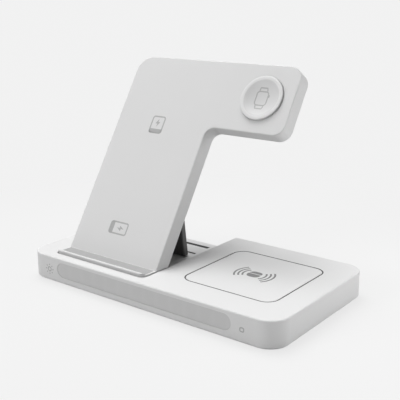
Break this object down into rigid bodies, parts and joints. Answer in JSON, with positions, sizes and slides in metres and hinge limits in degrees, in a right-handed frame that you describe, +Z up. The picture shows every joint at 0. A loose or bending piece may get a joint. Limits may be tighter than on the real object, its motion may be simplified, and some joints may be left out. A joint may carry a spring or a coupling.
{
  "type": "three in one wireless charger",
  "caption": "White desk charger: a flat base with an earbud charging pad and a front night light strip, and a tilted phone stand on a rear leg with a watch puck on its side arm.",
  "frame": {"origin": "middle of the base's footprint, on the surface that its feet stand on", "axes": "+X to the right as the user faces the stand, +Y to the back, +Z up"},
  "size_m": [0.18, 0.0982, 0.1293],
  "materials": {
    "white_plastic": "fine matte moulded white",
    "pad_plastic": "smooth matte white inlay",
    "puck_plastic": "satin white",
    "light_lens": "frosted grey diffuser",
    "dark_plastic": "matte charcoal",
    "foot_rubber": "dark matte rubber",
    "seal_rubber": "dark grey soft ring",
    "steel": "plain steel",
    "copper": "wound copper",
    "ferrite": "dull sintered sheet",
    "circuit_board": "green board",
    "led_chip": "pale yellow resin",
    "printed_ink": "grey printed signs"
  },
  "bodies": {
    "base": {"base_shell": "white_plastic", "grip_strips": "foot_rubber", "bottom_cover": "white_plastic", "rubber_feet": "foot_rubber", "cover_screws": "steel", "light_lens": "light_lens", "led_chips": "led_chip", "led_board": "circuit_board", "touch_pads": "copper", "earbud_pad": "pad_plastic", "pad_seal": "seal_rubber", "earbud_coil": "copper", "earbud_ferrite": "ferrite", "main_board": "circuit_board", "usb_shell": "steel", "usb_tongue": "dark_plastic", "hinge_pins": "steel"},
    "stand": {"stand_front": "white_plastic", "stand_back": "white_plastic", "leg_pin": "steel", "phone_coil_lower": "copper", "phone_coil_upper": "copper", "phone_ferrite": "ferrite", "stand_board": "circuit_board", "watch_puck": "puck_plastic", "watch_coil": "copper", "watch_magnet": "steel", "watch_shield": "ferrite"},
    "leg": {"leg": "dark_plastic"}
  },
  "joints": [
    {"name": "stand_hinge", "type": "hinge", "parent": "base", "child": "stand", "pos_m": [-0.038, -0.02705, 0.0126], "axis": [1, 0, 0], "range_deg": [0, 5]},
    {"name": "leg_hinge", "type": "hinge", "parent": "stand", "child": "leg", "pos_m": [-0.038, 0.01607, 0.0762], "axis": [1, 0, 0], "range_deg": [-36, 18]}
  ]
}
